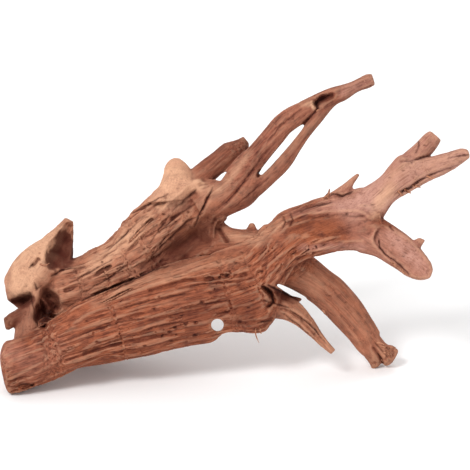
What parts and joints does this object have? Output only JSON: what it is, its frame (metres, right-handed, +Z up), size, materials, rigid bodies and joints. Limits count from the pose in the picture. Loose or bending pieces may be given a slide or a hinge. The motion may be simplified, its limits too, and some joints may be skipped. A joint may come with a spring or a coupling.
{
  "type": "mangrove root",
  "caption": "Weathered mangrove root with a long ridged trunk, a hollow stump end, forked branches above and curved legs below, and a small drilled hole, made to stand on its own feet.",
  "frame": {"origin": "middle of the bounding box at floor level, where the feet rest", "axes": "+X along the trunk from the hollow stump to the far branches, +Y away from the picture's viewer, +Z up"},
  "size_m": [0.4666, 0.1594, 0.2944],
  "materials": {
    "root_wood": "bare, weathered and washed wood, mid reddish brown, matt, paler on the far limb and the stump"
  },
  "bodies": {
    "root": {"mangrove_root": "root_wood"}
  },
  "joints": []
}
